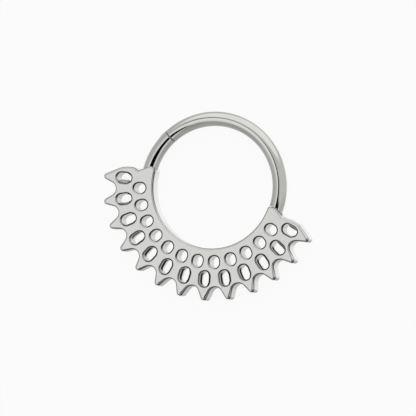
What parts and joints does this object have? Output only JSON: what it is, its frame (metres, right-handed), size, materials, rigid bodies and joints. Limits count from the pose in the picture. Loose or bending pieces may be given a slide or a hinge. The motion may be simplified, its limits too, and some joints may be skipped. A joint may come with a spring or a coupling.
{
  "type": "clicker ring",
  "caption": "Hinged clicker ring for a body piercing: a round hoop with a pierced, spiked fan, whose top bar swings open.",
  "frame": {"origin": "centre of the hoop, at the level of the fan's back", "axes": "+Z along the hoop's axis towards the fan's front, -Y through the middle of the fan, the hinge on +X"},
  "size_m": [0.0182, 0.0155, 0.0015],
  "materials": {
    "polished_steel": "polished surgical steel with softly rounded edges",
    "polished_bar": "polished surgical steel wire",
    "pin_steel": "ground flush surgical steel"
  },
  "bodies": {
    "fan": {"fan_body": "polished_steel", "hinge_pin": "pin_steel"},
    "bar": {"hinged_bar": "polished_bar"}
  },
  "joints": [
    {"name": "bar_hinge", "type": "hinge", "parent": "fan", "child": "bar", "pos_m": [0.0061, -0.00083, 0.00084], "axis": [0, 0, -1], "range_deg": [0, 45]}
  ]
}
